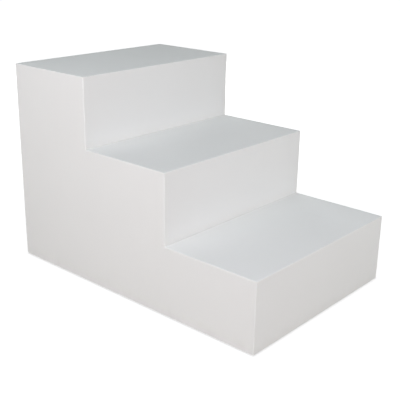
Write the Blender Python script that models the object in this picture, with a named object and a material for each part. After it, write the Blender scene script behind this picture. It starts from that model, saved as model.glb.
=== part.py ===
# Three box steps for a stage: white lacquered boards, mitred at every edge, on a timber frame.
# X runs across the steps, Y from the foot of the steps to their back, Z up. Lengths in metres.
# The underside and the back are open, as the back stands against the stage.

import math

import bmesh
import bpy
from mathutils import Vector

# Driving dimensions
STEP_NAMES = ("lower", "middle", "top")
STEP_RISE = 0.200
STEP_GOING = 0.300
WIDTH = 0.600
BOARD_THICKNESS = 0.018
ARRIS_RADIUS = 0.0025
STRINGER_THICKNESS = 0.018
RAIL_THICKNESS = 0.020
RAIL_HEIGHT = 0.045
CLEAT_SIDE = 0.025
TIMBER_ARRIS = 0.0015
BLOCK_LEG = 0.042
BLOCK_LENGTH = 0.060
BLOCK_TIP = 0.004
BLOCKS_PER_BAY = 2
GLIDE_HEIGHT = 0.003
GLIDE_DIAMETER = 0.020
GLIDE_RIM = 0.001
GLIDE_FROM_RAIL_END = 0.060
GLIDES_PER_RAIL = 3

# Clearance between any two pieces that are glued, screwed or laid together
JOINT_GAP = 0.0003

# How finely the round edges are cut
ARRIS_FACETS = 3
TIMBER_ARRIS_FACETS = 2
GLIDE_SIDES = 32
GLIDE_RIM_FACETS = 4
SHARP_ANGLE = math.radians(40)

# Places that follow from the sizes
STEP_COUNT = len(STEP_NAMES)
DEPTH = STEP_COUNT * STEP_GOING
HEIGHT = STEP_COUNT * STEP_RISE
FRONT_Y = -DEPTH / 2
BACK_Y = DEPTH / 2
BOARD_FOOT = GLIDE_HEIGHT
INSIDE_X = WIDTH / 2 - BOARD_THICKNESS - JOINT_GAP
REAR_FRAME_Y = BACK_Y - RAIL_THICKNESS
BASE_RAIL_TOP = BOARD_FOOT + RAIL_HEIGHT
# A mitre cut moved back by this much, measured along the board's face, leaves half the joint gap.
MITRE_SETBACK = JOINT_GAP / math.sqrt(2)

RIGHT = Vector((1, 0, 0))
BACK = Vector((0, 1, 0))
UP = Vector((0, 0, 1))


def nose_y(step):
    """The front face of a step's riser. Steps count from 0 at the foot."""
    return FRONT_Y + step * STEP_GOING


def tread_z(step):
    """The walking face of a step's tread."""
    return (step + 1) * STEP_RISE


def behind_riser_y(step):
    return nose_y(step) + BOARD_THICKNESS + JOINT_GAP


def under_tread_z(step):
    return tread_z(step) - BOARD_THICKNESS - JOINT_GAP


def make_material(name, colour, roughness, coat=0.0):
    material = bpy.data.materials.new(name)
    material.use_nodes = True
    shader = material.node_tree.nodes["Principled BSDF"]
    shader.inputs["Base Color"].default_value = (*colour, 1)
    shader.inputs["Roughness"].default_value = roughness
    shader.inputs["Metallic"].default_value = 0
    shader.inputs["Coat Weight"].default_value = coat
    material.diffuse_color = (*colour, 1)
    return material


def white_lacquer():
    return make_material("white lacquer", (0.80, 0.79, 0.78), 0.28, coat=0.3)


def birch_plywood():
    return make_material("birch plywood", (0.62, 0.47, 0.31), 0.6)


def planed_softwood():
    return make_material("planed softwood", (0.68, 0.50, 0.31), 0.55)


def white_nylon():
    return make_material("white nylon", (0.72, 0.72, 0.70), 0.4)


def clear_scene():
    for thing in list(bpy.data.objects):
        bpy.data.objects.remove(thing, do_unlink=True)


def finish_mesh(name, shape):
    """Turn a bmesh into a mesh whose round edges are smooth and whose flat faces stay flat."""
    bmesh.ops.recalc_face_normals(shape, faces=shape.faces)
    mesh = bpy.data.meshes.new(name)
    shape.to_mesh(mesh)
    shape.free()
    mesh.shade_smooth()
    mesh.set_sharp_from_angle(angle=SHARP_ANGLE)
    return mesh


def add_piece(name, mesh, material, location, parent):
    """Place one piece. Copies of a piece share its mesh."""
    piece = bpy.data.objects.new(name, mesh)
    bpy.context.scene.collection.objects.link(piece)
    if not mesh.materials:
        mesh.materials.append(material)
    piece.location = location
    piece.parent = parent
    normals = piece.modifiers.new("flat faces", "WEIGHTED_NORMAL")
    normals.keep_sharp = True
    return piece


def extruded_mesh(name, outline, axes, thickness):
    """Extrude an outline of (along, up) points, half the thickness to each side of its plane."""
    along, up, across = axes
    shape = bmesh.new()
    start = -across * thickness / 2
    corners = [shape.verts.new(start + along * a + up * b) for a, b in outline]
    face = shape.faces.new(corners)
    grown = bmesh.ops.extrude_face_region(shape, geom=[face])
    moved = [item for item in grown["geom"] if isinstance(item, bmesh.types.BMVert)]
    bmesh.ops.translate(shape, verts=moved, vec=across * thickness)
    return finish_mesh(name, shape)


def mitre_profile():
    """A mitred edge as (depth below the face, shift in from the arris): its round, then the saw cut."""
    meets_cut = math.acos(MITRE_SETBACK / (ARRIS_RADIUS * math.sqrt(2))) - math.pi / 4
    profile = []
    for count in range(ARRIS_FACETS + 1):
        angle = meets_cut * count / ARRIS_FACETS
        depth = ARRIS_RADIUS * (1 - math.cos(angle))
        shift = ARRIS_RADIUS * (1 - math.sin(angle))
        profile.append((depth, shift))
    profile.append((BOARD_THICKNESS, BOARD_THICKNESS + MITRE_SETBACK))
    return profile


def side_shift(kind, depth, mitre_shift, ease):
    """How far a board's side lies in from its outline at this depth. Ease rounds a square edge."""
    if kind == "nose":
        return mitre_shift
    if kind == "valley":
        return MITRE_SETBACK - depth
    above = max(0.0, ease - depth)
    return ease - math.sqrt(ease**2 - above**2)


def shifted_outline(outline, shifts):
    """The outline with side k, from point k to the next, moved in by its own shift.

    Every corner is square, so a corner moves by the sum of its two sides' moves."""
    normals = []
    for here, after in zip(outline, outline[1:] + outline[:1]):
        side = (Vector(after) - Vector(here)).normalized()
        normals.append(Vector((-side.y, side.x)))
    ring = []
    for index, corner in enumerate(outline):
        before = index - 1
        ring.append(Vector(corner) + normals[before] * shifts[before] + normals[index] * shifts[index])
    return ring


def mitred_board_mesh(name, outline, kinds, axes):
    """Loft a board from its face to its back through the rings that its edge profile gives.

    The outline runs anticlockwise round the face. Each side is a "nose", where it meets its
    neighbour at an outer arris, a "valley", where it meets it in an inner corner, or "square"."""
    along, up, inward = axes
    profile = mitre_profile()
    # A square edge is eased as deep as the half of an arris that lies on one board.
    ease = profile[ARRIS_FACETS][0]
    shape = bmesh.new()
    rings = []
    for depth, mitre_shift in profile:
        shifts = [side_shift(kind, depth, mitre_shift, ease) for kind in kinds]
        ring = shifted_outline(outline, shifts)
        rings.append([shape.verts.new(along * p.x + up * p.y + inward * depth) for p in ring])
    for outer, inner in zip(rings, rings[1:]):
        for k in range(len(outline)):
            after = (k + 1) % len(outline)
            shape.faces.new((outer[k], outer[after], inner[after], inner[k]))
    shape.faces.new(rings[0])
    shape.faces.new(rings[-1])
    return finish_mesh(name, shape)


def batten_mesh(name, size):
    """A planed batten, its four long edges eased."""
    shape = bmesh.new()
    bmesh.ops.create_cube(shape, size=1)
    bmesh.ops.scale(shape, vec=size, verts=shape.verts)
    longest = max(size)
    long_edges = [edge for edge in shape.edges if abs(edge.calc_length() - longest) < JOINT_GAP]
    bmesh.ops.bevel(
        shape,
        geom=long_edges,
        offset=TIMBER_ARRIS,
        segments=TIMBER_ARRIS_FACETS,
        profile=0.5,
        affect="EDGES",
    )
    return finish_mesh(name, shape)


def add_batten(name, low, high, material, parent):
    """A batten that fills the box between two corners."""
    low = Vector(low)
    high = Vector(high)
    return add_piece(name, batten_mesh(name, high - low), material, (low + high) / 2, parent)


def add_batten_pair(name, low, high, material, parent):
    """A batten on the right, with low and high as its corners, and its mirror copy on the left."""
    right = add_batten(f"{name}_right", low, high, material, parent)
    place = Vector((-right.location.x, right.location.y, right.location.z))
    add_piece(f"{name}_left", right.data, material, place, parent)


def side_outline():
    """The stepped outline of a side panel, as (back from the nose of the first step, up)."""
    outline = [(DEPTH, BOARD_FOOT), (DEPTH, HEIGHT)]
    for step in reversed(range(STEP_COUNT)):
        foot = tread_z(step - 1) if step else BOARD_FOOT
        outline.append((step * STEP_GOING, tread_z(step)))
        outline.append((step * STEP_GOING, foot))
    return outline


def add_side_panels(material, parent):
    outline = side_outline()
    kinds = ["square"] + ["nose"] * (2 * STEP_COUNT) + ["square"]
    for side, sign in (("left", -1), ("right", 1)):
        name = f"side_panel_{side}"
        mesh = mitred_board_mesh(name, outline, kinds, (BACK, UP, -sign * RIGHT))
        add_piece(name, mesh, material, (sign * WIDTH / 2, FRONT_Y, 0), parent)


def add_risers(material, parent):
    for step, step_name in enumerate(STEP_NAMES):
        foot = tread_z(step - 1) if step else BOARD_FOOT
        height = tread_z(step) - foot
        half = WIDTH / 2
        outline = [(-half, 0), (half, 0), (half, height), (-half, height)]
        kinds = ["valley" if step else "square", "nose", "nose", "nose"]
        name = f"riser_{step_name}"
        mesh = mitred_board_mesh(name, outline, kinds, (RIGHT, UP, BACK))
        add_piece(name, mesh, material, (0, nose_y(step), foot), parent)


def add_treads(material, parent):
    for step, step_name in enumerate(STEP_NAMES):
        half = WIDTH / 2
        outline = [(-half, 0), (half, 0), (half, STEP_GOING), (-half, STEP_GOING)]
        rear = "square" if step == STEP_COUNT - 1 else "valley"
        kinds = ["nose", "nose", rear, "nose"]
        name = f"tread_{step_name}"
        mesh = mitred_board_mesh(name, outline, kinds, (RIGHT, BACK, -UP))
        add_piece(name, mesh, material, (0, nose_y(step), tread_z(step)), parent)


def stringer_outline():
    """The stepped rib: it fits behind the risers, under the treads and round the cross rails."""
    rear = REAR_FRAME_Y - JOINT_GAP
    front_rail_back = behind_riser_y(0) + RAIL_THICKNESS + JOINT_GAP
    outline = [
        (rear, under_tread_z(STEP_COUNT - 1)),
        (rear, BOARD_FOOT),
        (front_rail_back, BOARD_FOOT),
        (front_rail_back, BASE_RAIL_TOP + JOINT_GAP),
    ]
    foot = BASE_RAIL_TOP + JOINT_GAP
    for step in range(STEP_COUNT):
        outline.append((behind_riser_y(step), foot))
        outline.append((behind_riser_y(step), under_tread_z(step)))
        if step < STEP_COUNT - 1:
            bearer_front = bearer_y(step) - JOINT_GAP
            foot = under_tread_z(step) - RAIL_HEIGHT - JOINT_GAP
            outline.append((bearer_front, under_tread_z(step)))
            outline.append((bearer_front, foot))
    return outline


def add_stringer(material, parent):
    mesh = extruded_mesh("centre_stringer", stringer_outline(), (BACK, UP, RIGHT), STRINGER_THICKNESS)
    add_piece("centre_stringer", mesh, material, (0, 0, 0), parent)


def bearer_y(step):
    """The front face of the bearer that lies under the back edge of a tread."""
    return nose_y(step + 1) + BOARD_THICKNESS - RAIL_THICKNESS


def add_bearers(material, parent):
    for step in range(STEP_COUNT - 1):
        top = under_tread_z(step)
        low = (-INSIDE_X, bearer_y(step), top - RAIL_HEIGHT)
        high = (INSIDE_X, bearer_y(step) + RAIL_THICKNESS, top)
        add_batten(f"tread_bearer_{STEP_NAMES[step]}", low, high, material, parent)


def add_base_frame(material, parent):
    front = behind_riser_y(0)
    low = (-INSIDE_X, front, BOARD_FOOT)
    high = (INSIDE_X, front + RAIL_THICKNESS, BASE_RAIL_TOP)
    add_batten("front_base_rail", low, high, material, parent)
    low = (INSIDE_X - RAIL_THICKNESS, front + RAIL_THICKNESS + JOINT_GAP, BOARD_FOOT)
    high = (INSIDE_X, REAR_FRAME_Y - JOINT_GAP, BASE_RAIL_TOP)
    add_batten_pair("base_rail", low, high, material, parent)


def add_rear_frame(material, parent):
    """The frame that stiffens the open back: two rails across and two stiles between them."""
    top = under_tread_z(STEP_COUNT - 1)
    low = (-INSIDE_X, REAR_FRAME_Y, BOARD_FOOT)
    high = (INSIDE_X, BACK_Y, BASE_RAIL_TOP)
    add_batten("rear_bottom_rail", low, high, material, parent)
    low = (-INSIDE_X, REAR_FRAME_Y, top - RAIL_HEIGHT)
    high = (INSIDE_X, BACK_Y, top)
    add_batten("rear_top_rail", low, high, material, parent)
    low = (INSIDE_X - RAIL_HEIGHT, REAR_FRAME_Y, BASE_RAIL_TOP + JOINT_GAP)
    high = (INSIDE_X, BACK_Y, top - RAIL_HEIGHT - JOINT_GAP)
    add_batten_pair("rear_stile", low, high, material, parent)


def add_cleats(material, parent):
    """Under each tread and behind each riser, a cleat holds the board to each side panel."""
    inner = INSIDE_X - CLEAT_SIDE
    for step, step_name in enumerate(STEP_NAMES):
        front = behind_riser_y(step)
        top = under_tread_z(step)
        last = step == STEP_COUNT - 1
        rear = (REAR_FRAME_Y if last else bearer_y(step)) - JOINT_GAP
        low = (inner, front, top - CLEAT_SIDE)
        add_batten_pair(f"tread_cleat_{step_name}", low, (INSIDE_X, rear, top), material, parent)
        foot = under_tread_z(step - 1) - RAIL_HEIGHT if step else BASE_RAIL_TOP + JOINT_GAP
        high = (INSIDE_X, front + CLEAT_SIDE, top - CLEAT_SIDE - JOINT_GAP)
        add_batten_pair(f"riser_cleat_{step_name}", (inner, front, foot), high, material, parent)


def block_outline():
    """A glue block's section: a right angle with its three tips cut off, as (back, up)."""
    leg = BLOCK_LEG
    tip = BLOCK_TIP
    return [(tip, 0), (0, -tip), (0, -leg), (tip, -leg), (leg, -tip), (leg, 0)]


def block_centres():
    """Across each half, the blocks stand evenly between the stringer and the cleats."""
    near = STRINGER_THICKNESS / 2 + JOINT_GAP
    far = INSIDE_X - CLEAT_SIDE
    pitch = (far - near) / BLOCKS_PER_BAY
    half = [near + pitch * (count + 0.5) for count in range(BLOCKS_PER_BAY)]
    return [-x for x in reversed(half)] + half


def add_glue_blocks(material, parent):
    mesh = extruded_mesh("glue_block", block_outline(), (BACK, UP, RIGHT), BLOCK_LENGTH)
    for step, step_name in enumerate(STEP_NAMES):
        for number, x in enumerate(block_centres(), start=1):
            place = (x, behind_riser_y(step), under_tread_z(step))
            add_piece(f"glue_block_{step_name}_{number}", mesh, material, place, parent)


def glide_mesh():
    """A turned disc: flat on top, flat underneath, with a round rim at the floor."""
    radius = GLIDE_DIAMETER / 2
    top = GLIDE_HEIGHT - JOINT_GAP
    profile = [(0, top), (radius, top)]
    for count in range(GLIDE_RIM_FACETS + 1):
        angle = math.pi / 2 * count / GLIDE_RIM_FACETS
        across = radius - GLIDE_RIM * (1 - math.cos(angle))
        profile.append((across, GLIDE_RIM * (1 - math.sin(angle))))
    profile.append((0, 0))
    shape = bmesh.new()
    points = [shape.verts.new((across, 0, up)) for across, up in profile]
    line = [shape.edges.new(pair) for pair in zip(points, points[1:])]
    bmesh.ops.spin(
        shape,
        geom=points + line,
        cent=(0, 0, 0),
        axis=UP,
        angle=2 * math.pi,
        steps=GLIDE_SIDES,
        use_merge=True,
    )
    bmesh.ops.remove_doubles(shape, verts=shape.verts, dist=JOINT_GAP / 10)
    return finish_mesh("glide", shape)


def add_glides(material, parent):
    """Glides under the side rails of the base carry the steps just clear of the floor."""
    mesh = glide_mesh()
    x = INSIDE_X - RAIL_THICKNESS / 2
    first = behind_riser_y(0) + RAIL_THICKNESS + GLIDE_FROM_RAIL_END
    last = REAR_FRAME_Y - GLIDE_FROM_RAIL_END
    for side, sign in (("left", -1), ("right", 1)):
        for count in range(GLIDES_PER_RAIL):
            y = first + (last - first) * count / (GLIDES_PER_RAIL - 1)
            add_piece(f"glide_{side}_{count + 1}", mesh, material, (sign * x, y, 0), parent)


def build_steps():
    clear_scene()
    whole = bpy.data.objects.new("stage_steps", None)
    bpy.context.scene.collection.objects.link(whole)
    lacquer = white_lacquer()
    plywood = birch_plywood()
    softwood = planed_softwood()
    nylon = white_nylon()
    add_side_panels(lacquer, whole)
    add_risers(lacquer, whole)
    add_treads(lacquer, whole)
    add_stringer(plywood, whole)
    add_bearers(softwood, whole)
    add_base_frame(softwood, whole)
    add_rear_frame(softwood, whole)
    add_cleats(softwood, whole)
    add_glue_blocks(softwood, whole)
    add_glides(nylon, whole)


build_steps()
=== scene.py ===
import math

import bmesh
import bpy
from mathutils import Matrix, Vector, noise


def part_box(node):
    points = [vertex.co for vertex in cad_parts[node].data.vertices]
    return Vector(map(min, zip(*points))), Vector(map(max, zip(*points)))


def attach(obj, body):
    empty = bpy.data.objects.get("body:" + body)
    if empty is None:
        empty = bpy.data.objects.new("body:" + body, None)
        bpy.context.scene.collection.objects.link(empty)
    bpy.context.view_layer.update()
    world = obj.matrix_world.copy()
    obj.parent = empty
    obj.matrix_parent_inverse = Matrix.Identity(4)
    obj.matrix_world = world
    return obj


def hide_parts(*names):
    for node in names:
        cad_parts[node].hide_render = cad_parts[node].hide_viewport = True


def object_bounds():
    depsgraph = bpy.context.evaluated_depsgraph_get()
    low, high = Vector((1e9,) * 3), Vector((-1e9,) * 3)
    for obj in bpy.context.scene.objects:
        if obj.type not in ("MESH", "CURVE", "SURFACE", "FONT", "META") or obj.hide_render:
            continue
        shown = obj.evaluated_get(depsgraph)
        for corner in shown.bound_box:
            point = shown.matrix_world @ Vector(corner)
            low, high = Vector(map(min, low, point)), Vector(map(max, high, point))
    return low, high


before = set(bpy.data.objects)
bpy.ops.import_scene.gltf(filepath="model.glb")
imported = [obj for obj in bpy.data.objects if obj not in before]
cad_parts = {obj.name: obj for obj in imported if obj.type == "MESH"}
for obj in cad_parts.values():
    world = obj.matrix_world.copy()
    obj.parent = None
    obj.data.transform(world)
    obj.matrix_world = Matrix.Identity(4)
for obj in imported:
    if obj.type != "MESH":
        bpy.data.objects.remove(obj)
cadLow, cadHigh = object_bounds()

# White box steps for a stage. X runs across them, Y from the foot to the back, Z up, in metres.
# Every piece takes its place from the frame's boards, battens and glides.

stepNames = ("lower", "middle", "top")
noseY = [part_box(f"riser_{name}")[0].y for name in stepNames]
treadZ = [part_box(f"tread_{name}")[1].z for name in stepNames]
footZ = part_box("side_panel_left")[0].z
sideX = cadHigh.x
backY = cadHigh.y
rise = treadZ[1] - treadZ[0]
going = noseY[1] - noseY[0]
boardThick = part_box("side_panel_left")[1].x - cadLow.x
battenNodes = [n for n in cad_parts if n.split("_")[0] in ("base", "front", "rear")
               or "cleat" in n or "bearer" in n]
blockNodes = [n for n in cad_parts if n.startswith("glue_block")]
glideNodes = [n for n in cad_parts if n.startswith("glide")]
print(f"frame read: {len(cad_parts)} nodes, {len(battenNodes)} battens")


class Wire:
    # one output socket, which can stand in a sum
    def __init__(self, finish, socket):
        self.finish = finish
        self.socket = socket

    def __add__(self, other):
        return self.finish.maths("ADD", self, other)

    def __radd__(self, other):
        return self.finish.maths("ADD", other, self)

    def __sub__(self, other):
        return self.finish.maths("SUBTRACT", self, other)

    def __rsub__(self, other):
        return self.finish.maths("SUBTRACT", other, self)

    def __mul__(self, other):
        return self.finish.maths("MULTIPLY", self, other)

    def __rmul__(self, other):
        return self.finish.maths("MULTIPLY", other, self)

    def __truediv__(self, other):
        return self.finish.maths("DIVIDE", self, other)

    def __rtruediv__(self, other):
        return self.finish.maths("DIVIDE", other, self)

    def __abs__(self):
        return self.finish.maths("ABSOLUTE", self)


class Finish:
    # a material or the world while its nodes are being wired
    def __init__(self, name, owner=None):
        self.owner = owner or bpy.data.materials.new(name)
        self.owner.use_nodes = True
        self.tree = self.owner.node_tree
        self.tree.nodes.clear()
        self.place = None

    def node(self, kind, settings=None, sockets=None, output=0):
        made = self.tree.nodes.new("ShaderNode" + kind)
        for setting, value in (settings or {}).items():
            setattr(made, setting, value)
        for name, value in (sockets or {}).items():
            socket = made.inputs[name]
            if isinstance(value, Wire):
                self.tree.links.new(value.socket, socket)
            elif socket.type == "RGBA":
                socket.default_value = (*value, 1.0)
            else:
                socket.default_value = value
        return Wire(self, made.outputs[output]) if made.outputs else None

    def maths(self, operation, first, second=0):
        return self.node("Math", {"operation": operation}, {0: first, 1: second})

    def where(self):
        if self.place is None:
            self.place = self.node("TexCoord", output="Object")
        return self.place

    def axes(self, vector=None):
        split = self.node("SeparateXYZ", sockets={0: vector or self.where()})
        outputs = split.socket.node.outputs
        return [Wire(self, outputs[k]) for k in range(3)]

    def facing(self):
        return self.axes(self.node("NewGeometry", output="Normal"))

    def stretched(self, factors, shift=(0, 0, 0)):
        # the place on the object, scaled by its own factor along each axis
        return self.node("Mapping", sockets={"Vector": self.where(), "Location": shift, "Scale": factors})

    def cloud(self, size, detail=2.0, rough=0.5, vector=None):
        # soft noise whose lumps are about this size
        sockets = {"Vector": vector or self.where(), "Scale": 1 / size, "Detail": detail, "Roughness": rough}
        return self.node("TexNoise", sockets=sockets)

    def grain(self, perMetre, detail, rough, shift=(0, 0, 0)):
        # noise drawn out along the axes where it has few lumps in a metre
        return self.cloud(1.0, detail, rough, self.stretched(perMetre, shift))

    def fade(self, value, low, high):
        # 0 below low, 1 above high, smooth between them
        sockets = {"Value": value, "From Min": low, "From Max": high}
        return self.node("MapRange", {"interpolation_type": "SMOOTHSTEP"}, sockets)

    def blend(self, amount, first, second):
        return self.node("Mix", {"data_type": "RGBA"}, {0: amount, 6: first, 7: second}, output=2)

    def bump(self, height, depth, under=None):
        sockets = {"Strength": 1.0, "Distance": depth, "Height": height}
        if under is not None:
            sockets["Normal"] = under
        return self.node("Bump", sockets=sockets)

    def surface(self, tone, rough, normal, others=None):
        sockets = {"Base Color": tone, "Roughness": rough, "Normal": normal, **(others or {})}
        shader = self.node("BsdfPrincipled", sockets=sockets)
        self.node("OutputMaterial", sockets={"Surface": shader})
        return self.owner


# A noise in a look is its lump size, or its lumps per metre along each axis, then detail, roughness and any
# shift. A fade is the two values between which it rises from 0 to 1.

lacquerLook = {
    "colour": (0.80, 0.795, 0.785),
    # a darker tone, used for real marks and also for painted shade
    "dustAndShade": (0.70, 0.685, 0.665),
    "primer": (0.62, 0.60, 0.57),
    "rough": 0.50,
    "roughSpread": 0.10,
    "upFade": (0.85, 0.98),
    "sideFade": (0.5, 0.9),
    "drift": 0.12,                  # clouds of the darker tone
    "driftNoise": (0.16, 3, 0.55),
    "streaks": 0.05,
    "streakNoise": ((9, 60, 9), 3, 0.6),
    "scuffs": 0.5,
    "scuffNoise": ((38, 7, 38), 4, 0.7, (0.3, 0.1, 0)),
    "scuffFade": (0.60, 0.74),
    "scuffTone": 0.18,
    "scuffRough": 0.16,
    "hairNoise": ((260, 9, 260), 1, 0.5, (0.05, 0.4, 0)),
    "hairFade": (0.74, 0.80),
    "dragFade": (0.48, 0.62),
    "hairTone": 0.25,
    "hairRough": 0.2,
    "landFade": (0.15, 0.45),       # of the climb, where a foot lands and where it stops
    "liftFade": (0.8, 0.98),
    "wear": 0.8,                    # how much of a nose is rubbed through to the primer
    "wearNoise": (0.004, 5, 0.7),
    "wearFade": (0.52, 0.62),
    "patchNoise": (0.06, 2, 0.5),
    "patchFade": (0.46, 0.58),
    "wearRough": 0.3,
    "noseFade": (0.985, 1.0),
    "footPatches": 0.35,                   # darker in patches towards the foot
    "footPatchesNoise": (0.03, 5, 0.65),
    "footPatchesFade": (0.4, 0.75),
    "footPatchesReach": 0.05,
    "riserFootShade": 0.3,
    "riserFootShadeFade": (0.0, 0.14),        # the share of the rise that the painted shade at a riser's foot covers
    # painted shade in the corner of each valley
    "valleyShade": 0.35,
    "valleyShadeFade": (0.003, 0.016),
    # painted shade: treads darker the higher they are
    "upperTreadShade": 0.38,
    "upperTreadShadeTo": 1.05,              # of the top tread's height, where the painted shade on the treads is darkest
    "waveNoise": (0.055, 1, 0.3),   # slow waves in the sanded board
    "waveDepth": 0.0003,
    "peelNoise": (0.0024, 2, 0.4),  # orange peel left by the spray gun
    "peelDepth": 0.0002,
    "mistNoise": (0.0006, 1, 0.5),
    "mistDepth": 0.00003,
}


def climbOf(finish):
    # 1 along every nose, 0 in every valley
    y, z = finish.axes()[1:]
    return z / rise - (y - cadLow.y) / going


def whiteLacquer():
    look = lacquerLook
    f = Finish("white_lacquer")
    z = f.axes()[2]
    facing = f.facing()
    climb = climbOf(f)
    onTread = f.fade(facing[2], *look["upFade"])
    onSide = f.fade(abs(facing[0]), *look["sideFade"])
    # shoes leave long faint marks where the foot lands
    stride = f.fade(climb, *look["landFade"]) * (1 - f.fade(climb, *look["liftFade"]))
    drag = f.grain(*look["scuffNoise"])
    scuff = f.fade(drag, *look["scuffFade"]) * onTread * stride * look["scuffs"]
    hair = f.fade(f.grain(*look["hairNoise"]), *look["hairFade"])
    hairline = hair * f.fade(drag, *look["dragFade"]) * onTread * look["scuffs"]
    # the round of a nose is rubbed thinner than the rest
    onNose = f.fade(climb, *look["noseFade"])
    worn = f.fade(f.cloud(*look["wearNoise"]), *look["wearFade"])
    patch = f.fade(f.cloud(*look["patchNoise"]), *look["patchFade"])
    rubbed = worn * onNose * patch * look["wear"]
    # darker in patches towards the foot
    low = 1 - f.fade(z, footZ, footZ + look["footPatchesReach"])
    footPatches = f.fade(f.cloud(*look["footPatchesNoise"]), *look["footPatchesFade"]) * low * look["footPatches"]
    # painted shade: darker at the foot of each riser, in the corner of each valley and towards the top tread
    riserFootShade = (1 - f.fade(climb, *look["riserFootShadeFade"])) * (1 - onTread) * (1 - onSide) * look["riserFootShade"]
    corner = (1 - f.fade(abs(climb), *look["valleyShadeFade"])) * (1 - onSide) * look["valleyShade"]
    upperTreadShade = f.fade(z, treadZ[0], treadZ[-1] * look["upperTreadShadeTo"]) * onTread * look["upperTreadShade"]
    drift = f.cloud(*look["driftNoise"])
    tone = f.blend(drift * look["drift"], look["colour"], look["dustAndShade"])
    tone = f.blend(f.grain(*look["streakNoise"]) * look["streaks"], tone, look["dustAndShade"])
    tone = f.blend(scuff * look["scuffTone"] + hairline * look["hairTone"] + footPatches, tone, look["dustAndShade"])
    tone = f.blend(riserFootShade + corner + upperTreadShade, tone, look["dustAndShade"])
    tone = f.blend(rubbed, tone, look["primer"])
    marks = scuff * look["scuffRough"] + hairline * look["hairRough"] + rubbed * look["wearRough"]
    rough = look["rough"] + (drift - 0.5) * look["roughSpread"] + marks
    normal = None
    for layer in ("wave", "peel", "mist"):
        normal = f.bump(f.cloud(*look[layer + "Noise"]), look[layer + "Depth"], normal)
    return f.surface(tone, rough, normal, {"IOR": 1.5})


rawBoardLook = {
    "colour": (0.46, 0.33, 0.21),
    "dark": (0.30, 0.205, 0.125),
    "light": (0.56, 0.42, 0.28),
    "rough": 0.82,
    "drift": 0.8,
    "driftNoise": (0.13, 2, 0.5),
    "fibres": 0.55,
    "fibreNoise": (0.0011, 4, 0.7),
    "fibreFade": (0.52, 0.72),
    "fibreDepth": 0.00012,
    "flakes": 0.3,
    "flakeNoise": (0.0045, 3, 0.6),
    "flakeFade": (0.58, 0.7),
    "flakeDepth": 0.00008,
    "mist": (0.72, 0.70, 0.68),
    "mistReach": 0.075,     # how far the spray drifted in from the open back and foot
    "mistFade": (0.25, 0.95),
    "mistRough": 0.22,      # how much smoother it left the board
    "specks": 1.5,
    "speckNoise": (0.0017, 3, 0.75),
    "patches": 0.9,
    "patchNoise": (0.06, 2, 0.5),
}


def rawBoard():
    look = rawBoardLook
    f = Finish("raw_fibreboard")
    y, z = f.axes()[1:]
    fibre = f.cloud(*look["fibreNoise"])
    flake = f.cloud(*look["flakeNoise"])
    tone = f.blend(f.cloud(*look["driftNoise"]) * look["drift"], look["colour"], look["light"])
    tone = f.blend(f.fade(fibre, *look["fibreFade"]) * look["fibres"], tone, look["dark"])
    tone = f.blend(f.fade(flake, *look["flakeFade"]) * look["flakes"], tone, look["light"])
    fromFoot = (footZ + look["mistReach"] - z) / look["mistReach"]
    fromBack = (y - (backY - look["mistReach"])) / look["mistReach"]
    speck = (f.cloud(*look["speckNoise"]) - 0.5) * look["specks"]
    patch = (f.cloud(*look["patchNoise"]) - 0.5) * look["patches"]
    cover = f.fade(f.maths("MAXIMUM", fromFoot, fromBack) + speck + patch, *look["mistFade"])
    tone = f.blend(cover, tone, look["mist"])
    rough = look["rough"] - cover * look["mistRough"]
    normal = f.bump(fibre, look["fibreDepth"])
    normal = f.bump(flake, look["flakeDepth"], normal)
    return f.surface(tone, rough, normal)


plywoodLook = {
    "face": (0.74, 0.60, 0.42),
    "figure": (0.62, 0.455, 0.29),
    "coreDark": (0.40, 0.26, 0.15),
    "rough": 0.58,
    "sideFade": (0.5, 0.9),
    "loops": 0.55,
    "loopNoise": ((1, 5.5, 1.3), 3, 0.55),
    "loopLines": 11.0,         # growth lines that the peeling knife laid open
    "loopsPerMetre": 3.0,
    "loopFade": (0.2, 0.9),    # each line darkens slowly and ends at once
    "loopEndFade": (0.93, 1.0),
    "shade": 0.3,
    "shadeNoise": ((1, 7, 2.2), 2, 0.5, (0, 0.6, 0.2)),
    "shadeFade": (0.5, 0.75),
    "pores": 0.3,
    "poreNoise": ((700, 900, 45), 3, 0.7),
    "poreFade": (0.58, 0.75),
    "poreDepth": 0.00008,
    "poreRough": 0.12,
    "plies": 13,
    "glueLine": 0.8,
    "lineFade": (0.42, 0.48),  # distance from a ply's middle, in plies
    "endGrain": 0.4,
    "endNoise": ((1500, 160, 160), 3, 0.7),
    "endFade": (0.5, 0.7),
}


def birchPlywood():
    look = plywoodLook
    f = Finish("birch_plywood")
    ribLow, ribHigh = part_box("centre_stringer")
    x, y = f.axes()[:2]
    onFace = f.fade(abs(f.facing()[0]), *look["sideFade"])
    # the face veneer was peeled from a log, so its figure runs in long loops
    loops = f.maths("FRACT", f.grain(*look["loopNoise"]) * look["loopLines"] + y * look["loopsPerMetre"])
    loops = f.fade(loops, *look["loopFade"]) * (1 - f.fade(loops, *look["loopEndFade"]))
    shade = f.grain(*look["shadeNoise"])
    pores = f.grain(*look["poreNoise"])
    face = f.blend(loops * shade * look["loops"], look["face"], look["figure"])
    face = f.blend(f.fade(shade, *look["shadeFade"]) * look["shade"], face, look["figure"])
    face = f.blend(f.fade(pores, *look["poreFade"]) * look["pores"], face, look["figure"])
    # its edge shows the plies, every other one end on, with a glue line between them
    ply = (x - ribLow.x) / (ribHigh.x - ribLow.x) * look["plies"]
    turn = f.maths("MODULO", f.maths("FLOOR", ply), 2)
    glueLine = f.fade(abs(f.maths("FRACT", ply) - 0.5), *look["lineFade"])
    endGrain = f.fade(f.grain(*look["endNoise"]), *look["endFade"])
    core = f.blend(turn, look["face"], look["figure"])
    core = f.blend(endGrain * look["endGrain"], core, look["coreDark"])
    core = f.blend(glueLine * look["glueLine"], core, look["coreDark"])
    tone = f.blend(onFace, core, face)
    rough = look["rough"] + pores * look["poreRough"]
    normal = f.bump(pores, look["poreDepth"])
    return f.surface(tone, rough, normal)


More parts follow.
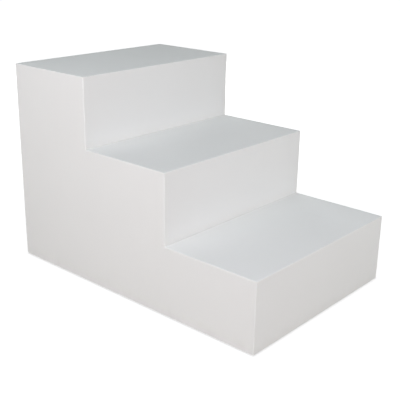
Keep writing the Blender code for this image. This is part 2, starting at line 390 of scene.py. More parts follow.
softwoodLook = {
    "early": (0.76, 0.585, 0.37),
    "late": (0.57, 0.36, 0.175),
    "deep": (0.36, 0.205, 0.095),
    "rough": 0.62,
    "pith": {"X": (0.0, -0.62, 0.93), "Y": (0.11, 0.0, 0.86), "Z": (0.07, -0.1, 0.0)},
    "bends": 0.05,             # along the log, for each one across it
    "wander": 0.03,            # how far the log strays from straight
    "wanderNoise": (0.09, 2, 0.5),
    "ripple": 0.004,
    "rippleNoise": (0.02, 2, 0.5),
    "ring": 0.0036,            # one year's growth
    "seasons": 0.011,          # wet and dry years make it wider and narrower
    "seasonScale": 55.0,
    "ringFade": (0.30, 0.92),  # each ring darkens slowly and ends at once
    "ringEndFade": (0.93, 1.0),
    "ringTone": 0.32,
    "ringTint": 0.5,
    "ringDepth": 0.00005,
    "ringRough": 0.1,
    "fibres": 0.3,
    "fibresAcross": 420.0,
    "fibresAlong": 14.0,
    "fibreDetail": (3, 0.65),
    "fibreFade": (0.5, 0.75),
    "fibreDepth": 0.00007,
    "tint": 0.4,
    "tintNoise": (0.21, 1, 0.5),
    "tintFade": (0.42, 0.68),
    "knots": 0.85,
    "knotsPerMetre": 7.0,
    "knotsAlong": 0.42,        # for each one across
    "knotFade": (0.035, 0.075),
    "knotWander": 0.03,
    "end": 0.45,
    "endFade": (0.7, 0.95),
    "endRough": 0.2,
}


def softwood(along):
    # rings round a pith that runs along the batten, far enough off to give straight grain
    look = softwoodLook
    f = Finish(f"planed_softwood_along_{along.lower()}")
    number = "XYZ".index(along)
    pith = look["pith"][along]

    def drawnOut(across, lengthwise):
        return [lengthwise if k == number else across for k in range(3)]

    place = f.axes()
    bent = f.stretched(drawnOut(1.0, look["bends"]))
    wander = f.cloud(*look["wanderNoise"], bent) - 0.5
    ripple = f.cloud(*look["rippleNoise"], bent) - 0.5
    one, other = [k for k in range(3) if k != number]
    first = place[one] - pith[one] + wander * look["wander"]
    second = place[other] - pith[other] + ripple * look["ripple"]
    radius = f.maths("SQRT", first * first + second * second)
    season = f.node("TexNoise", {"noise_dimensions": "1D"}, {"W": radius, "Scale": look["seasonScale"]})
    age = f.maths("FRACT", (radius + (season - 0.5) * look["seasons"]) / look["ring"])
    lateWood = f.fade(age, *look["ringFade"]) * (1 - f.fade(age, *look["ringEndFade"]))
    fibres = f.grain(drawnOut(look["fibresAcross"], look["fibresAlong"]), *look["fibreDetail"])
    tint = f.cloud(*look["tintNoise"])
    tone = f.blend(lateWood * (look["ringTone"] + tint * look["ringTint"]), look["early"], look["late"])
    tone = f.blend(f.fade(fibres, *look["fibreFade"]) * look["fibres"], tone, look["late"])
    tone = f.blend(f.fade(tint, *look["tintFade"]) * look["tint"], tone, look["late"])
    # a few knots, dark and ringed, where a branch left the log
    cells = {"Vector": f.stretched(drawnOut(1.0, look["knotsAlong"])), "Scale": look["knotsPerMetre"]}
    knot = f.node("TexVoronoi", {"feature": "F1"}, cells, output="Distance")
    eye = 1 - f.fade(knot + wander * look["knotWander"], *look["knotFade"])
    tone = f.blend(eye * look["knots"], tone, look["deep"])
    # sawn ends drink the light
    end = f.fade(abs(f.facing()[number]), *look["endFade"])
    tone = f.blend(end * look["end"], tone, look["late"])
    rough = look["rough"] - lateWood * look["ringRough"] + end * look["endRough"]
    normal = f.bump(fibres, look["fibreDepth"])
    normal = f.bump(lateWood, look["ringDepth"], normal)
    return f.surface(tone, rough, normal)


nylonLook = {
    "colour": (0.74, 0.74, 0.71),
    "yellow": (0.66, 0.65, 0.61),
    "rubbed": (0.48, 0.46, 0.42),
    "rough": 0.36,
    "yellowed": 0.5,
    "yellowNoise": (0.011, 2, 0.5),
    "yellowFade": (0.35, 0.7),
    "rubs": 0.3,
    "rubNoise": (0.0016, 4, 0.7),
    "rubFade": (0.6, 0.75),
    "rubRough": 0.2,
    "rubDepth": 0.00003,
    "milky": 0.15,          # how much light goes into it
}


def whiteNylon():
    look = nylonLook
    f = Finish("white_nylon")
    rub = f.cloud(*look["rubNoise"])
    yellowed = f.fade(f.cloud(*look["yellowNoise"]), *look["yellowFade"]) * look["yellowed"]
    tone = f.blend(yellowed, look["colour"], look["yellow"])
    tone = f.blend(f.fade(rub, *look["rubFade"]) * look["rubs"], tone, look["rubbed"])
    rough = look["rough"] + rub * look["rubRough"]
    normal = f.bump(rub, look["rubDepth"])
    return f.surface(tone, rough, normal, {"Subsurface Weight": look["milky"]})


zincLook = {
    "colour": (0.72, 0.55, 0.25),
    "pale": (0.62, 0.52, 0.36),
    "rough": 0.28,
    "filmNoise": (0.0021, 3, 0.6),
    "filmFade": (0.35, 0.65),
    "scratchNoise": ((2600, 2600, 300), 3, 0.7),
    "scratchRough": 0.22,
    "scratchDepth": 0.00001,
}


def yellowZinc():
    look = zincLook
    f = Finish("yellow_zinc")
    film = f.fade(f.cloud(*look["filmNoise"]), *look["filmFade"])
    tone = f.blend(film, look["colour"], look["pale"])
    scratch = f.grain(*look["scratchNoise"])
    rough = look["rough"] + scratch * look["scratchRough"]
    normal = f.bump(scratch, look["scratchDepth"])
    return f.surface(tone, rough, normal, {"Metallic": 1.0})


glueLook = {
    "colour": (0.74, 0.60, 0.34),
    "thick": (0.60, 0.44, 0.20),
    "rough": 0.24,
    "skinNoise": (0.0035, 3, 0.6),
    "skinFade": (0.35, 0.7),
    "skinRough": 0.2,
    "skinDepth": 0.0002,
}


def driedGlue():
    look = glueLook
    f = Finish("dried_wood_glue")
    skin = f.cloud(*look["skinNoise"])
    tone = f.blend(f.fade(skin, *look["skinFade"]), look["colour"], look["thick"])
    rough = look["rough"] + skin * look["skinRough"]
    return f.surface(tone, rough, f.bump(skin, look["skinDepth"]))


finishes = {
    "lacquer": whiteLacquer(),
    "rawBoard": rawBoard(),
    "plywood": birchPlywood(),
    "nylon": whiteNylon(),
    "zinc": yellowZinc(),
    "glue": driedGlue(),
}
for along in "XYZ":
    finishes["softwood" + along] = softwood(along)
print(f"finishes mixed: {len(finishes)}")

sharpAngle = math.radians(35)


def addThing(name, data):
    thing = bpy.data.objects.new(name, data)
    bpy.context.scene.collection.objects.link(thing)
    return thing


def keptMesh(name, shape):
    mesh = bpy.data.meshes.new(name)
    shape.to_mesh(mesh)
    shape.free()
    return mesh


def addPiece(name, shape, materials):
    bmesh.ops.recalc_face_normals(shape, faces=shape.faces)
    mesh = keptMesh(name, shape)
    mesh.shade_smooth()
    mesh.set_sharp_from_angle(angle=sharpAngle)
    for material in materials:
        mesh.materials.append(material)
    piece = addThing(name, mesh)
    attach(piece, "root")
    return piece


def standFor(piece, node):
    # takes the node's place, its flat faces shaded flat up to their rounds
    flat = piece.modifiers.new("flat faces", "WEIGHTED_NORMAL")
    flat.keep_sharp = True
    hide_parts(node)


def skinRings(shape, rings):
    # a closed skin over a row of rings that have as many points each
    for here, after in zip(rings, rings[1:]):
        for k in range(len(here)):
            near = (k + 1) % len(here)
            shape.faces.new((here[k], here[near], after[near], after[k]))
    shape.faces.new(rings[0])
    shape.faces.new(rings[-1])


boardMake = {
    "arris": 0.0021,        # round rubbed on every outer edge
    "arrisSpread": 0.16,    # the hand that rubbed it wasn't steady
    # how many waves in a metre, and each one's share
    "arrisWaves": ((14.0, 0.7), (47.0, 0.3)),
    "arrisFacets": 6,
    "stride": 0.025,        # between the points that the round follows
}


def arrisRadius(point):
    wobble = sum(noise.noise(point * waves) * share for waves, share in boardMake["arrisWaves"])
    return boardMake["arris"] * (1 + boardMake["arrisSpread"] * wobble)


def inward(start, end):
    side = (end - start).normalized()
    return Vector((-side.y, side.x))


def walkRound(outline, kinds):
    # every point on the outline, with the sides that it lies on
    corners = [Vector(corner) for corner in outline]
    walked = []
    for k, start in enumerate(corners):
        end = corners[(k + 1) % len(corners)]
        here = (kinds[k], inward(start, end))
        walked.append((start, [(kinds[k - 1], inward(corners[k - 1], start)), here]))
        strides = max(1, round((end - start).length / boardMake["stride"]))
        for part in range(1, strides):
            walked.append((start.lerp(end, part / strides), [here]))
    return walked


def sideShift(kind, depth, mitre, radius):
    # how far a side lies in from the outline, this deep below the face
    if kind == "nose":
        return mitre
    if kind == "valley":
        return -depth
    small = radius * (1 - math.cos(math.pi / 4))
    above = max(0.0, small - depth)
    return small - math.sqrt(small ** 2 - above ** 2)


def sprayedBoard(node, outline, kinds, place):
    # the board's face, its share of each round arris, its mitre cuts and its raw back
    facets = boardMake["arrisFacets"]
    shape = bmesh.new()
    walked = walkRound(outline, kinds)
    rings = []
    for step in range(facets + 2):
        ring = []
        for point, sides in walked:
            radius = arrisRadius(place(point, 0))
            angle = math.pi / 4 * step / facets
            depth = radius * (1 - math.cos(angle))
            mitre = radius * (1 - math.sin(angle))
            if step > facets:
                depth = mitre = boardThick
            moved = point.copy()
            for kind, normal in sides:
                moved += normal * sideShift(kind, depth, mitre, radius)
            ring.append(shape.verts.new(place(moved, depth)))
        rings.append(ring)
    skinRings(shape, rings)
    # the back and the mitre cuts are left unpainted
    shape.faces.ensure_lookup_table()
    raw = [shape.faces[-1]]
    firstCut = facets * len(walked)
    for k, (point, sides) in enumerate(walked):
        if "square" not in [kind for kind, normal in sides]:
            raw.append(shape.faces[firstCut + k])
    for face in raw:
        face.material_index = 1
    materials = (finishes["lacquer"], finishes["rawBoard"])
    board = addPiece(f"sprayed_{node}", shape, materials)
    standFor(board, node)


def sideOutline():
    outline = [(backY, footZ), (backY, treadZ[-1])]
    for step in reversed(range(len(stepNames))):
        outline.append((noseY[step], treadZ[step]))
        outline.append((noseY[step], treadZ[step - 1] if step else footZ))
    return outline


def sprayBoards():
    kinds = ["square"] + ["nose"] * (2 * len(stepNames)) + ["square"]
    sprayedBoard("side_panel_left", sideOutline(), kinds, lambda p, deep: Vector((deep - sideX, p.x, p.y)))
    sprayedBoard("side_panel_right", sideOutline(), kinds, lambda p, deep: Vector((sideX - deep, p.x, p.y)))
    for step, name in enumerate(stepNames):
        front, top = noseY[step], treadZ[step]
        foot = treadZ[step - 1] if step else footZ
        rear = noseY[step + 1] if name != "top" else backY
        outline = [(-sideX, foot), (sideX, foot), (sideX, top), (-sideX, top)]
        kinds = ["valley" if step else "square", "nose", "nose", "nose"]
        sprayedBoard(f"riser_{name}", outline, kinds, lambda p, deep, y=front: Vector((p.x, y + deep, p.y)))
        outline = [(-sideX, front), (sideX, front), (sideX, rear), (-sideX, rear)]
        kinds = ["nose", "nose", "valley" if name != "top" else "square", "nose"]
        sprayedBoard(f"tread_{name}", outline, kinds, lambda p, deep, z=top: Vector((p.x, p.y, z - deep)))


sprayBoards()
print("boards sprayed")

filletMake = {
    "radius": 0.0010,
    "unsteady": 0.3,
    "waves": (30, 9, 9),    # in a metre along it, and two that set the valleys apart
    "facets": 5,
    "stride": 0.012,
    "sunk": 0.0004,         # how far it reaches into the corner
    "endShare": 0.35,       # what is left of the radius at its ends
    "short": 0.6,           # of the boards' arris, by which it stops before the sides
}


def valleyFillet(name, top, front):
    # a thin line of filler, smoothed by a finger, in the corner between a tread and the next riser
    make = filletMake
    reach = sideX - boardMake["arris"] * make["short"]
    count = round(2 * reach / make["stride"])
    shape = bmesh.new()
    rings = []
    for part in range(count + 1):
        x = -reach + 2 * reach * part / count
        wobble = noise.noise(Vector([v * waves for v, waves in zip((x, front, top), make["waves"])]))
        radius = make["radius"] * (1 + make["unsteady"] * wobble)
        if part in (0, count):
            radius *= make["endShare"]
        ring = [shape.verts.new((x, front + make["sunk"], top - make["sunk"]))]
        for facet in range(make["facets"] + 1):
            angle = math.pi / 2 * facet / make["facets"]
            y = front - radius * (1 - math.sin(angle))
            z = top + radius * (1 - math.cos(angle))
            ring.append(shape.verts.new((x, y, z)))
        rings.append(ring)
    skinRings(shape, rings)
    addPiece(f"valley_filler_{name}", shape, (finishes["lacquer"],))


for name, top, front in zip(stepNames, treadZ, noseY[1:]):
    valleyFillet(name, top, front)
print("valleys filled")

timberMake = {
    "arris": 0.0018,        # what the plane took off the long edges
    "arrisSpread": 0.35,
    "arrisWaves": 9,        # in a metre
    "edgeApart": 3.7,       # these set its four edges and the battens apart
    "battenApart": 40,
    "arrisFacets": 3,
    "stride": 0.03,
}


def longWay(low, high):
    size = high - low
    return max(range(3), key=lambda k: size[k])


def planedBatten(node):
    # rounded by hand along its four long edges, sawn square at its ends
    make = timberMake
    low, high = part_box(node)
    along = longWay(low, high)
    across, up = (along + 1) % 3, (along + 2) % 3
    count = max(2, round((high[along] - low[along]) / make["stride"]))
    facets = make["arrisFacets"]
    shape = bmesh.new()
    rings = []
    for part in range(count + 1):
        place = low[along] + (high[along] - low[along]) * part / count
        ring = []
        for corner, (side, top) in enumerate(((1, 1), (-1, 1), (-1, -1), (1, -1))):
            apart = high[across] * make["battenApart"] + corner * make["edgeApart"]
            seed = Vector((place * make["arrisWaves"], apart, high[up] * make["battenApart"]))
            radius = make["arris"] * (1 + make["arrisSpread"] * noise.noise(seed))
            for facet in range(facets + 1):
                angle = math.pi / 2 * (corner + facet / facets)
                point = Vector((0, 0, 0))
                point[along] = place
                point[across] = (high if side > 0 else low)[across] + radius * (math.cos(angle) - side)
                point[up] = (high if top > 0 else low)[up] + radius * (math.sin(angle) - top)
                ring.append(shape.verts.new(point))
        rings.append(ring)
    skinRings(shape, rings)
    bmesh.ops.recalc_face_normals(shape, faces=shape.faces)
    return shape


def turned(profile, sides):
    # a closed lathe shape round +Z, from (radius, height) pairs that start and end on the axis
    shape = bmesh.new()
    rows = []
    for radius, height in profile:
        if radius == 0:
            rows.append([shape.verts.new((0, 0, height))] * sides)
            continue
        angles = [2 * math.pi * k / sides for k in range(sides)]
        rows.append([shape.verts.new((radius * math.cos(a), radius * math.sin(a), height)) for a in angles])
    for upper, lower in zip(rows, rows[1:]):
        for k in range(sides):
            after = (k + 1) % sides
            corners = []
            for vert in (upper[k], upper[after], lower[after], lower[k]):
                if vert not in corners:
                    corners.append(vert)
            shape.faces.new(corners)
    bmesh.ops.recalc_face_normals(shape, faces=shape.faces)
    return shape


def addCopy(shape, mesh, pose):
    before = len(shape.verts)
    shape.from_mesh(mesh)
    shape.verts.ensure_lookup_table()
    bmesh.ops.transform(shape, matrix=pose, verts=shape.verts[before:])


def cutAway(shape, cutter):
    # the batten once the countersinks and slots are cut in it
    pair = [addThing(name, keptMesh(name, part)) for name, part in (("uncut", shape), ("cutter", cutter))]
    cut = pair[0].modifiers.new("cut", "BOOLEAN")
    cut.operation = "DIFFERENCE"
    cut.solver = "EXACT"
    cut.object = pair[1]
    seen = pair[0].evaluated_get(bpy.context.evaluated_depsgraph_get())
    result = bmesh.new()
    result.from_mesh(seen.to_mesh())
    seen.to_mesh_clear()
    for thing in pair:
        mesh = thing.data
        bpy.data.objects.remove(thing)
        bpy.data.meshes.remove(mesh)
    return result


screwMake = {
    "head": 0.0038,         # half of the head's width
    "shank": 0.4,           # half width of the shank and depth of the cone, as shares of that
    "cone": 0.6,
    "rim": 0.0003,
    "sunk": 0.0005,         # how far under the face the driver left it
    "room": 0.0004,         # crushed wood round the head
    "flat": 0.95,           # share of the head's width that stays flat
    "cross": 0.0023,        # reach, half width and depth of the driver's cross
    "crossHalf": 0.0005,
    "crossDepth": 0.0014,
    "crossTip": 0.75,       # shares of its width at its tips and of its size at its floor
    "crossFloor": 0.5,
    "sides": 28,
    "byEye": 0.0012,        # nobody measured where each one goes
    "scatter": 60,          # sets neighbours apart
    "otherWay": (9, 4, 7),
    "turn": 2.4,            # each cross stops at another angle
    "shortBatten": 0.15,    # a shorter batten gets one screw less in each row
}

# The rows on each batten: the way their heads face, how many, how far the outer ones lie from the ends,
# and their place in the batten's width. A lone screw without a distance lies in the middle.
screwRows = {
    "tread_cleat": (("inward", 3, 0.035, 0.5), ("down", 2, 0.085, 0.5)),
    "riser_cleat": (("inward", 3, 0.022, 0.5), ("back", 2, 0.05, 0.5)),
    "tread_bearer": (("down", 4, 0.07, 0.5),),
    "base_rail": (("inward", 4, 0.07, 0.5),),
    "front_base_rail": (("back", 4, 0.08, 0.5),),
    "rear_bottom_rail": (("back", 3, 0.0105, 0.22), ("back", 3, 0.0105, 0.58)),
    "rear_top_rail": (("back", 1, None, 0.28), ("back", 3, 0.0125, 0.72)),
}


def screwHead():
    # a countersunk head whose cross is a real hollow
    make = screwMake
    head, rim = make["head"], make["rim"]
    tip = -rim - head * make["cone"]
    profile = [(0, tip), (head * make["shank"], tip), (head, -rim), (head * make["flat"], 0), (0, 0)]
    shape = turned(profile, make["sides"])
    middle = [v for v in shape.verts if v.co.length == 0]
    bmesh.ops.delete(shape, geom=middle, context="VERTS")
    rimEdges = [e for e in shape.edges if e.is_boundary]
    half = make["crossHalf"]
    tipHalf = half * make["crossTip"]
    quarter = [(make["cross"], -tipHalf), (make["cross"], tipHalf), (half, half)]
    outline = []
    for turn in range(4):
        spin = Matrix.Rotation(math.pi / 2 * turn, 2)
        outline += [spin @ Vector(corner) for corner in quarter]
    floor = make["crossFloor"]
    upper = [shape.verts.new((p.x, p.y, 0)) for p in outline]
    lower = [shape.verts.new((p.x * floor, p.y * floor, -make["crossDepth"])) for p in outline]
    crossEdges = []
    for k in range(len(outline)):
        after = (k + 1) % len(outline)
        shape.faces.new((upper[k], upper[after], lower[after], lower[k]))
        crossEdges.append(shape.edges.get((upper[k], upper[after])))
    shape.faces.new(lower)
    bmesh.ops.triangle_fill(shape, use_beauty=True, edges=rimEdges + crossEdges)
    bmesh.ops.recalc_face_normals(shape, faces=shape.faces)
    return shape


cutPast = 0.001     # a cutter stands this far out of the face, for a clean cut


def countersink():
    make = screwMake
    wide = make["head"] + make["room"]
    floor = -make["rim"] - make["room"]
    tip = floor - wide * make["cone"]
    mouth = make["sunk"] + cutPast
    return turned([(0, tip), (wide * make["shank"], tip), (wide, floor), (wide, mouth), (0, mouth)],
                  make["sides"])


def rowOfScrews(node, facing, count, fromEnd, share):
    # along a batten, on the face that looks this way
    low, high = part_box(node)
    size = high - low
    along = longWay(low, high)
    way = max(range(3), key=lambda k: abs(facing[k]))
    across = 3 - along - way
    if fromEnd is None:
        fromEnd = size[along] / 2
    spots = []
    for k in range(count):
        spot = Vector((0, 0, 0))
        spot[along] = low[along] + fromEnd + (size[along] - 2 * fromEnd) * k / max(1, count - 1)
        spot[across] = low[across] + size[across] * share
        seed = spot * screwMake["scatter"]
        spot[along] += noise.noise(seed) * screwMake["byEye"]
        spot[across] += noise.noise(seed + Vector(screwMake["otherWay"])) * screwMake["byEye"]
        spot[way] = (high if facing[way] > 0 else low)[way]
        spots.append((spot, Vector(facing)))
    return spots


def screwSpots(node):
    low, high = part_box(node)
    facings = {"inward": (-math.copysign(1, low.x + high.x), 0, 0), "back": (0, 1, 0), "down": (0, 0, -1)}
    fewer = 1 if max(high - low) < screwMake["shortBatten"] else 0
    spots = []
    for start, rows in screwRows.items():
        if node.startswith(start):
            for way, count, fromEnd, share in rows:
                spots += rowOfScrews(node, facings[way], count - fewer, fromEnd, share)
    return spots


def poseOf(spot, facing, lift, spin=0.0):
    turn = facing.to_track_quat("Z", "Y").to_matrix().to_4x4()
    return Matrix.Translation(spot + facing * lift) @ turn @ Matrix.Rotation(spin, 4, "Z")


wavyMake = {
    "length": 0.022,        # steel strip knocked in across a butt joint
    "wave": 0.0056,
    "swing": 0.0011,
    "thick": 0.0007,
    "room": 0.0005,
    "deep": 0.004,
    "sunk": 0.0003,
    "facets": 48,
    "apart": 0.019,
}


def wavyStrip(extra, above, below):
    # runs up Z with its face to +Y, which is 0 at the timber's face
    make = wavyMake
    reach = make["length"] / 2 + extra
    half = make["thick"] / 2 + extra
    shape = bmesh.new()
    rings = []
    for k in range(make["facets"] + 1):
        z = -reach + 2 * reach * k / make["facets"]
        x = make["swing"] * math.sin(2 * math.pi * z / make["wave"])
        corners = ((x - half, above), (x + half, above), (x + half, below), (x - half, below))
        rings.append([shape.verts.new((cx, cy, z)) for cx, cy in corners])
    skinRings(shape, rings)
    bmesh.ops.recalc_face_normals(shape, faces=shape.faces)
    return shape


def wavySpots(node):
    # two strips across each joint that this node makes in the rear frame
    bottom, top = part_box("rear_bottom_rail")[1].z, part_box("rear_top_rail")[0].z
    spots = []
    for side in ("left", "right"):
        stile = f"rear_stile_{side}"
        low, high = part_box(stile)
        for rail, z in (("rear_bottom_rail", (low.z + bottom) / 2), ("rear_top_rail", (high.z + top) / 2)):
            if node in (rail, stile):
                for shift in (-0.5, 0.5):
                    x = (low.x + high.x) / 2 + shift * wavyMake["apart"]
                    spots.append(Vector((x, high.y, z)))
    return spots


def planeBattens():
    headMesh = keptMesh("screw head", screwHead())
    sinkMesh = keptMesh("countersink", countersink())
    slotDepth = wavyMake["deep"] + wavyMake["room"]
    slotMesh = keptMesh("slot", wavyStrip(wavyMake["room"] / 2, cutPast, -slotDepth))
    screws = bmesh.new()
    driven = 0
    for node in battenNodes:
        shape = planedBatten(node)
        spots = screwSpots(node)
        slots = wavySpots(node)
        cutter = bmesh.new()
        for spot, facing in spots:
            driven += 1
            spin = driven * screwMake["turn"]
            addCopy(cutter, sinkMesh, poseOf(spot, facing, -screwMake["sunk"]))
            addCopy(screws, headMesh, poseOf(spot, facing, -screwMake["sunk"], spin))
        for spot in slots:
            addCopy(cutter, slotMesh, Matrix.Translation(spot))
        shape = cutAway(shape, cutter)
        wood = finishes["softwood" + "XYZ"[longWay(*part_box(node))]]
        batten = addPiece(f"planed_{node}", shape, (wood,))
        standFor(batten, node)
    addPiece("countersunk_screws", screws, (finishes["zinc"],))
    for mesh in (headMesh, sinkMesh, slotMesh):
        bpy.data.meshes.remove(mesh)
    return driven


def knockInStrips():
    stripMesh = keptMesh("strip", wavyStrip(0.0, -wavyMake["sunk"], -wavyMake["deep"]))
    strips = bmesh.new()
    for side in ("left", "right"):
        for spot in wavySpots(f"rear_stile_{side}"):
            addCopy(strips, stripMesh, Matrix.Translation(spot))
    addPiece("corrugated_fasteners", strips, (finishes["zinc"],))
    bpy.data.meshes.remove(stripMesh)


screwCount = planeBattens()
print(f"battens planed, {screwCount} screws driven")
knockInStrips()
print("rear frame fastened")

easeMake = {
    "block": 0.0007,        # width that the sandpaper took off
    "rib": 0.0006,
    "facets": 2,
    "merge": 0.00001,
    "flatAngle": 0.01,
}


def easedCopy(node, width, material):
    # the node's own shape with its edges broken by sandpaper
    shape = bmesh.new()
    shape.from_mesh(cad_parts[node].data)
    bmesh.ops.remove_doubles(shape, verts=shape.verts, dist=easeMake["merge"])
    bmesh.ops.recalc_face_normals(shape, faces=shape.faces)
    bmesh.ops.dissolve_limit(shape, angle_limit=easeMake["flatAngle"], verts=shape.verts, edges=shape.edges)
    bmesh.ops.bevel(shape, geom=shape.edges[:], offset=width, segments=easeMake["facets"], profile=0.5,
                    affect="EDGES")
    eased = addPiece(f"eased_{node}", shape, (material,))
    standFor(eased, node)


for node in blockNodes:
    easedCopy(node, easeMake["block"], finishes["softwoodX"])
easedCopy("centre_stringer", easeMake["rib"], finishes["plywood"])
print("glue blocks and rib eased")

glideMake = {
    "sides": 48,
    # half width and height of each ring, from the middle of the foot out and up to the rail
    "turning": (
        (0, 0.0013), (0.0031, 0.0013), (0.0034, 0.0010), (0.0037, 0.00025), (0.0042, 0),
        (0.0064, 0), (0.0066, 0.00018), (0.0069, 0.00018), (0.0071, 0), (0.0088, 0),
        (0.0093, 0.00012), (0.0097, 0.00045), (0.00995, 0.0009), (0.01, 0.0014), (0.01, 0.00245),
        (0.0098, 0.0027), (0, 0.0027),
    ),
    "nail": (
        (0, 0.00035), (0.0009, 0.00038), (0.0018, 0.0005), (0.0024, 0.00078), (0.0027, 0.0011),
        (0.0026, 0.0014), (0.0011, 0.0016), (0, 0.0016),
    ),
}


def turnGlides():
    nailMesh = keptMesh("nail", turned(glideMake["nail"], glideMake["sides"]))
    nails = bmesh.new()
    for node in glideNodes:
        low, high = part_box(node)
        pose = Matrix.Translation(((low.x + high.x) / 2, (low.y + high.y) / 2, 0))
        shape = turned(glideMake["turning"], glideMake["sides"])
        bmesh.ops.transform(shape, matrix=pose, verts=shape.verts)
        glide = addPiece(f"turned_{node}", shape, (finishes["nylon"],))
        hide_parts(node)
        addCopy(nails, nailMesh, pose)
    addPiece("glide_nails", nails, (finishes["zinc"],))
    bpy.data.meshes.remove(nailMesh)


turnGlides()
print("glides turned")

beadMake = {
    "radius": 0.0021,       # where the clamp squeezed the most glue out
    "mean": 0.5,            # the radius along it, as shares of that
    "spread": 0.75,
    "waves": ((19, 0.9), (75, 0.45)),
    "least": 0.22,          # where it gets thinner, it breaks off
    "endShare": 0.35,       # what is left of its size there
    "sag": 0.3,
    "sagWaves": 40,
    "sagApart": (7, 1, 3),
    "stride": 0.004,
    "fewest": 4,            # strides in the shortest bead
    "facets": 4,
    "sunk": 0.0002,         # how far it reaches into the joint
    "fromEnd": 0.004,
}


def closeBead(shape, rings):
    if len(rings) < 3:
        bmesh.ops.delete(shape, geom=[vert for ring in rings for vert in ring], context="VERTS")
        return
    for ring in (rings[0], rings[-1]):
        for vert in ring[1:]:
            vert.co = ring[0].co.lerp(vert.co, beadMake["endShare"])
    skinRings(shape, rings)


def runBead(shape, start, end, first, second):
    # glue squeezed out along a corner; first and second point away from it along its two faces
    make = beadMake
    first, second = Vector(first), Vector(second)
    count = max(make["fewest"], round((end - start).length / make["stride"]))
    rings = []
    for part in range(count + 1):
        spot = start.lerp(end, part / count)
        swell = sum(noise.noise(spot * waves) * weight for waves, weight in make["waves"])
        share = make["mean"] + make["spread"] * swell
        if part in (0, count) or share < make["least"]:
            closeBead(shape, rings)
            rings = []
            continue
        radius = make["radius"] * share
        sag = 1 + make["sag"] * noise.noise(spot * make["sagWaves"] + Vector(make["sagApart"]))
        ring = [shape.verts.new(spot - (first + second) * make["sunk"])]
        for facet in range(make["facets"] + 1):
            angle = math.pi / 2 * facet / make["facets"]
            out = first * math.cos(angle) * sag + second * math.sin(angle) / sag
            ring.append(shape.verts.new(spot + radius * out))
        rings.append(ring)
    closeBead(shape, rings)


def glueAlong(shape, node, along, corner, first, second):
    # corner names, for each of the other two ways, the low (0) or high (1) side of the node's box
    low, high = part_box(node)
    start, end = low.copy(), high.copy()
    for way, top in corner.items():
        start[way] = end[way] = (high if top else low)[way]
    start[along] += beadMake["fromEnd"]
    end[along] -= beadMake["fromEnd"]
    runBead(shape, start, end, first, second)


def glueStep(name):
    back, down = (0, 1, 0), (0, 0, -1)
    shape = bmesh.new()
    for side, sign in (("left", -1), ("right", 1)):
        wall, inner = (1, 0) if sign > 0 else (0, 1)
        inside = (-sign, 0, 0)
        cleat, upright = f"tread_cleat_{name}_{side}", f"riser_cleat_{name}_{side}"
        glueAlong(shape, cleat, 1, {0: wall, 2: 0}, inside, down)
        glueAlong(shape, cleat, 1, {0: inner, 2: 1}, inside, down)
        glueAlong(shape, upright, 2, {0: wall, 1: 1}, inside, back)
        glueAlong(shape, upright, 2, {0: inner, 1: 0}, inside, back)
    for node in blockNodes:
        if node.startswith(f"glue_block_{name}"):
            glueAlong(shape, node, 0, {1: 0, 2: 0}, back, down)
            glueAlong(shape, node, 0, {1: 1, 2: 1}, back, down)
    if name != "top":
        glueAlong(shape, f"tread_bearer_{name}", 0, {1: 0, 2: 1}, (0, -1, 0), down)
    # the rib is glued to the tread over it and the riser before it
    ribLow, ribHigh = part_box("centre_stringer")
    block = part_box(f"glue_block_{name}_1")
    under, behind = block[1].z, block[0].y
    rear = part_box(f"tread_cleat_{name}_left")[1].y
    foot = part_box(f"riser_cleat_{name}_left")[0].z
    for x, way in ((ribLow.x, (-1, 0, 0)), (ribHigh.x, (1, 0, 0))):
        runBead(shape, Vector((x, behind, under)), Vector((x, rear, under)), way, down)
        runBead(shape, Vector((x, behind, foot)), Vector((x, behind, under)), way, back)
    addPiece(f"glue_squeezed_out_{name}", shape, (finishes["glue"],))


def glueFrame():
    forward, back, up, down = (0, -1, 0), (0, 1, 0), (0, 0, 1), (0, 0, -1)
    shape = bmesh.new()
    for side, sign in (("left", -1), ("right", 1)):
        wall = 1 if sign > 0 else 0
        inside = (-sign, 0, 0)
        glueAlong(shape, f"base_rail_{side}", 1, {0: wall, 2: 1}, inside, up)
        glueAlong(shape, f"rear_stile_{side}", 2, {0: wall, 1: 0}, inside, forward)
    glueAlong(shape, "front_base_rail", 0, {1: 0, 2: 1}, back, up)
    glueAlong(shape, "rear_top_rail", 0, {1: 0, 2: 1}, forward, down)
    addPiece("glue_squeezed_out_frame", shape, (finishes["glue"],))


for name in stepNames:
    glueStep(name)
glueFrame()
print("glue squeezed out")

cameraPlace = {
    "at": (-1.579, -1.385, 0.967),
    "azimuth": 48.91,       # from +Y towards +X
    "down": 19.72,
    "roll": 1.02,
    "lens": 67.28,
    "sensor": 36,
    "nearest": 0.01,
}


def placeCamera():
    turn, down, roll = [math.radians(cameraPlace[key]) for key in ("azimuth", "down", "roll")]
    ahead = Vector((math.sin(turn) * math.cos(down), math.cos(turn) * math.cos(down), -math.sin(down)))
    level = Vector((math.cos(turn), -math.sin(turn), 0))
    above = level.cross(ahead)
    right = level * math.cos(roll) + above * math.sin(roll)
    up = above * math.cos(roll) - level * math.sin(roll)
    camera = addThing("camera", bpy.data.cameras.new("camera"))
    pose = Matrix((right, up, -ahead)).transposed().to_4x4()
    pose.translation = Vector(cameraPlace["at"])
    camera.matrix_world = pose
    camera.data.lens = cameraPlace["lens"]
    camera.data.sensor_width = cameraPlace["sensor"]
    camera.data.clip_start = cameraPlace["nearest"]
    bpy.context.scene.camera = camera


placeCamera()
print("camera placed")

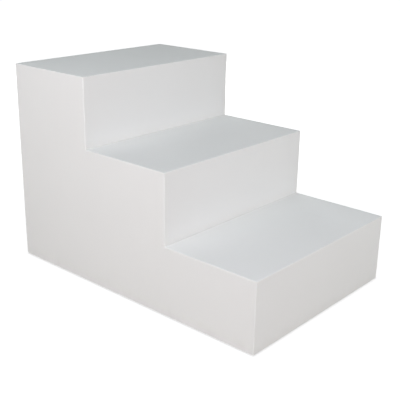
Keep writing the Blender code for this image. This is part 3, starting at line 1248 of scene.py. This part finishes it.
lamps = {
    "left": {"at": (-3.1, -0.5, 1.5), "size": 1.4, "watts": 47.8, "colour": (1.0, 0.986, 0.981)},
    "front": {"at": (0.2, -3.3, 1.6), "size": 1.4, "watts": 55.2, "colour": (0.977, 0.991, 1.0)},
    "overhead": {"at": (-1.8, -0.3, 2.8), "size": 2.0, "watts": 21.1, "colour": (0.689, 0.940, 1.0)},
    "near the foot": {"at": (-1.0, -1.2, 1.2), "size": 0.8, "watts": 3.2, "colour": (1.0, 0.764, 0.913)},
    "near the side": {"at": (-1.6, 0.2, 1.1), "size": 0.8, "watts": 3.25, "colour": (1.0, 0.808, 0.885)},
    # this one would show as a glare on the treads
    "behind": {"at": (2.4, 3.0, 0.5), "size": 0.9, "watts": 115.0, "colour": (1, 1, 1), "mirrored": False},
}
worldLook = {"ambient": 0.10, "colour": (0.85, 0.98, 1.0)}
floorLook = {
    "colour": (0.50, 0.46, 0.41),  # what it throws back on the steps
    "seen": (0.30, 0.30, 0.30),    # what the camera sees of light and shadow on it
    "glow": (0.64, 0.85, 1.0),     # its own brightness: lower under the steps as painted shade, then beside them and far off
    "gapReach": (-0.002, 0.010),   # how far from the steps' foot the first changes to the second,
    "glowReach": (0.05, 0.9),      # and the second to the third
    "reach": 12.0,
    "sides": 96,
}


def hangLamps():
    target = (cadLow + cadHigh) / 2
    for name, lamp in lamps.items():
        data = bpy.data.lights.new(name, "AREA")
        data.shape = "SQUARE"
        data.size = lamp["size"]
        data.energy = lamp["watts"]
        data.color = lamp["colour"]
        hung = addThing(name, data)
        hung.location = lamp["at"]
        hung.rotation_euler = (target - hung.location).to_track_quat("-Z", "Y").to_euler()
        hung.visible_camera = False
        hung.visible_glossy = lamp.get("mirrored", True)


def seenDirectly(finish):
    path = finish.node("LightPath").socket.node.outputs
    seen = Wire(finish, path["Is Camera Ray"])
    for kind in ("Is Glossy Ray", "Is Transmission Ray"):
        seen = finish.maths("MAXIMUM", seen, Wire(finish, path[kind]))
    return seen


def whiteSurround():
    # white where the camera or a reflection sees it, and only a soft fill for the object
    world = bpy.data.worlds.new("studio")
    bpy.context.scene.world = world
    f = Finish("studio", world)
    fill = f.node("Background", sockets={"Color": worldLook["colour"], "Strength": worldLook["ambient"]})
    white = f.node("Background", sockets={"Color": (1, 1, 1), "Strength": 1.0})
    both = f.node("MixShader", sockets={0: seenDirectly(f), 1: fill, 2: white})
    f.node("OutputWorld", sockets={"Surface": both})


def paleFloor():
    # the camera sees near white and the steps' shadow, the steps get a plain floor's light
    look = floorLook
    f = Finish("pale_floor")
    x, y = f.axes()[:2]
    away = f.maths("MAXIMUM", abs(x) - sideX, abs(y) - backY)
    # the lower glow under the steps is painted shade
    under, beside, farOff = [f.node("Emission", sockets={"Color": (1, 1, 1), "Strength": strength})
                             for strength in look["glow"]]
    glow = f.node("MixShader", sockets={0: f.fade(away, *look["gapReach"]), 1: under, 2: beside})
    glow = f.node("MixShader", sockets={0: f.fade(away, *look["glowReach"]), 1: glow, 2: farOff})
    plain = f.node("BsdfDiffuse", sockets={"Color": look["colour"]})
    shaded = f.node("BsdfDiffuse", sockets={"Color": look["seen"]})
    bright = f.node("AddShader", sockets={0: shaded, 1: glow})
    both = f.node("MixShader", sockets={0: seenDirectly(f), 1: plain, 2: bright})
    f.node("OutputMaterial", sockets={"Surface": both})
    return f.owner


def layFloor():
    shape = bmesh.new()
    bmesh.ops.create_circle(shape, cap_ends=True, radius=floorLook["reach"], segments=floorLook["sides"])
    floor = addThing("floor", keptMesh("floor", shape))
    floor.data.materials.append(paleFloor())


hangLamps()
whiteSurround()
layFloor()
bpy.context.scene.view_settings.view_transform = "Standard"
print("studio lit")
